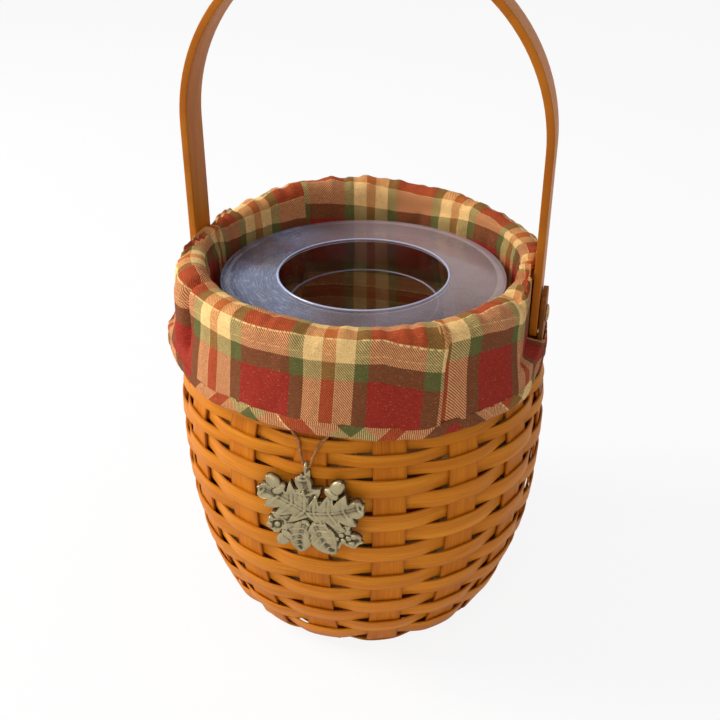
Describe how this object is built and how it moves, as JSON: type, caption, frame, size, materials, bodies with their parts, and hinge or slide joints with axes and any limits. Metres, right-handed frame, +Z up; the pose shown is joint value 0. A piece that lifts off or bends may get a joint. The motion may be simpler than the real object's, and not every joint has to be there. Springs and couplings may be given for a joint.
{
  "type": "splint basket",
  "caption": "Round woven splint basket with swing handle, plaid cloth liner with turned-down cuff, clear insert with ring lid, and cast tie-on.",
  "frame": {"origin": "middle of the base, on the surface that the basket stands on", "axes": "+Z up, handle pivots along X, tie-on at the front towards -Y"},
  "size_m": [0.2014, 0.205, 0.35],
  "materials": {
    "splint": "stained maple, satin",
    "weaver": "stained maple, satin",
    "wood": "stained maple, satin",
    "brass": "dulled",
    "cloth": "plaid twill",
    "binding": "plaid twill cut on the bias",
    "clear": "clear, lightly scratched",
    "pewter": "cast grey metal, worn",
    "lace": "brown lace"
  },
  "bodies": {
    "basket": {"splint_1": "splint", "splint_2": "splint", "splint_3": "splint", "splint_4": "splint", "splint_5": "splint", "splint_6": "splint", "splint_7": "splint", "splint_8": "splint", "base_weaver_1": "weaver", "base_weaver_2": "weaver", "base_weaver_3": "weaver", "edge_weaver": "weaver", "wide_weaver_1": "weaver", "wide_weaver_2": "weaver", "wide_weaver_3": "weaver", "wide_weaver_4": "weaver", "wide_weaver_5": "weaver", "wide_weaver_6": "weaver", "wide_weaver_7": "weaver", "wide_weaver_8": "weaver", "wide_weaver_9": "weaver", "wide_weaver_10": "weaver", "wide_weaver_11": "weaver", "wide_weaver_12": "weaver", "narrow_weaver_1": "weaver", "narrow_weaver_2": "weaver", "narrow_weaver_3": "weaver", "narrow_weaver_4": "weaver", "narrow_weaver_5": "weaver", "narrow_weaver_6": "weaver", "narrow_weaver_7": "weaver", "rim_band_outer": "wood", "rim_band_inner": "wood", "rim_tack_1": "brass", "rim_tack_2": "brass", "rim_tack_3": "brass", "rim_tack_4": "brass", "rim_tack_5": "brass", "rim_tack_6": "brass", "ear_right": "wood", "ear_left": "wood", "rivet_right": "brass", "rivet_left": "brass", "cloth_liner": "cloth", "liner_cuff": "cloth", "liner_binding": "binding", "lace_loop": "lace"},
    "handle": {"handle": "wood"},
    "vessel": {"clear_vessel": "clear"},
    "lid": {"clear_ring_lid": "clear"},
    "tie_on": {"ornament": "pewter", "lace_fall": "lace"}
  },
  "joints": [
    {"name": "handle_swing", "type": "hinge", "parent": "basket", "child": "handle", "pos_m": [0, 0, 0.175], "axis": [1, 0, 0], "range_deg": [-90, 90]},
    {"name": "vessel_lift", "type": "slide", "parent": "basket", "child": "vessel", "axis": [0, 0, 1], "range_m": [0, 0.06]},
    {"name": "lid_lift", "type": "slide", "parent": "vessel", "child": "lid", "axis": [0, 0, 1], "range_m": [0, 0.06]},
    {"name": "tie_on_swing", "type": "hinge", "parent": "basket", "child": "tie_on", "pos_m": [0, -0.0928, 0.1519], "axis": [-1, 0, 0], "range_deg": [0, 32]}
  ]
}
